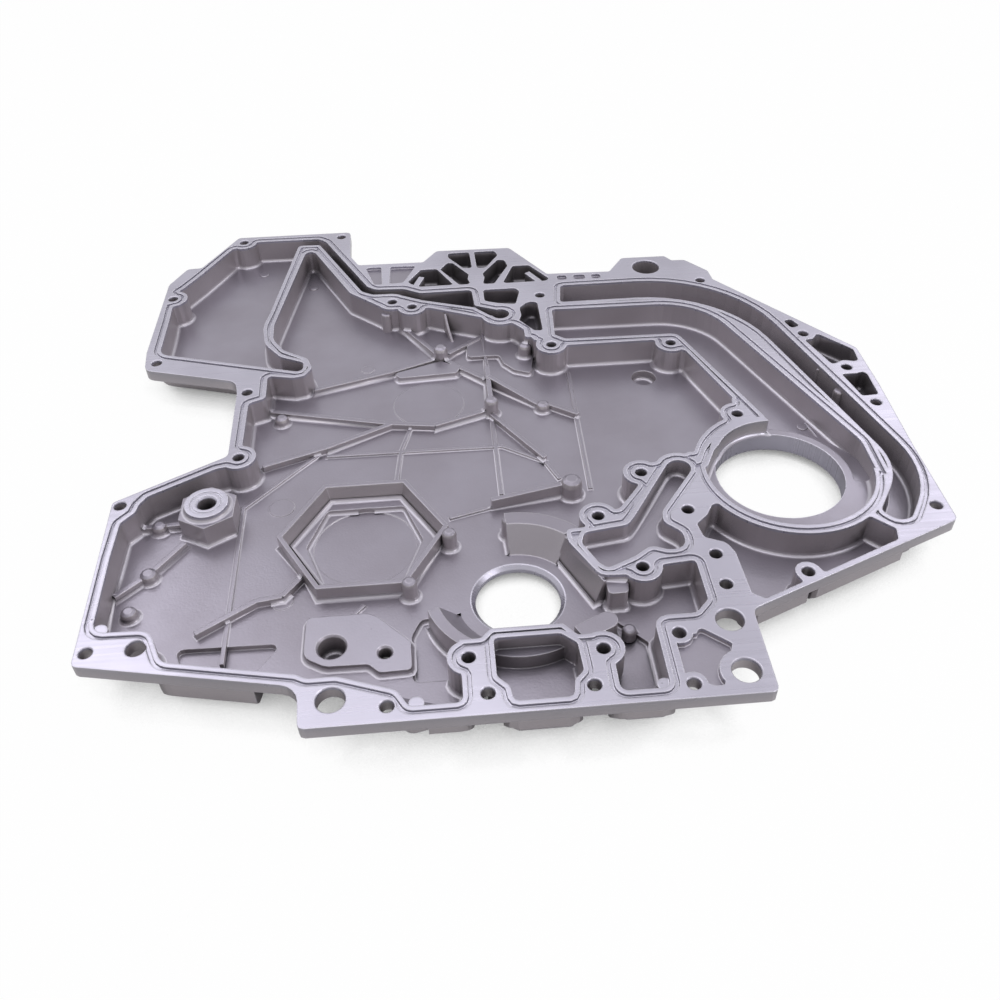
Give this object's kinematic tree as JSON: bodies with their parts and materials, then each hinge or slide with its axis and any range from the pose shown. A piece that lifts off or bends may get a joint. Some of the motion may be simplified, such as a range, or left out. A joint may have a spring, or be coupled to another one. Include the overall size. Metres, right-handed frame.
{
  "type": "timing cover",
  "caption": "Flat cast timing cover with a gear case, coolant channels and an oil gallery open at its grooved joint face, a crank seal seat and a pump impeller bore.",
  "frame": {"origin": "on the crank axis, in the plane of the outer boss faces the cover rests on", "axes": "+Z along the crank axis towards the engine, out of the joint face; +Y towards the cylinder head end, +X towards the pump"},
  "size_m": [0.64, 0.6375, 0.038],
  "materials": {
    "cast_aluminium": "as-cast satin skin with milled joint face and bores"
  },
  "bodies": {
    "root": {"timing_cover": "cast_aluminium"}
  },
  "joints": []
}
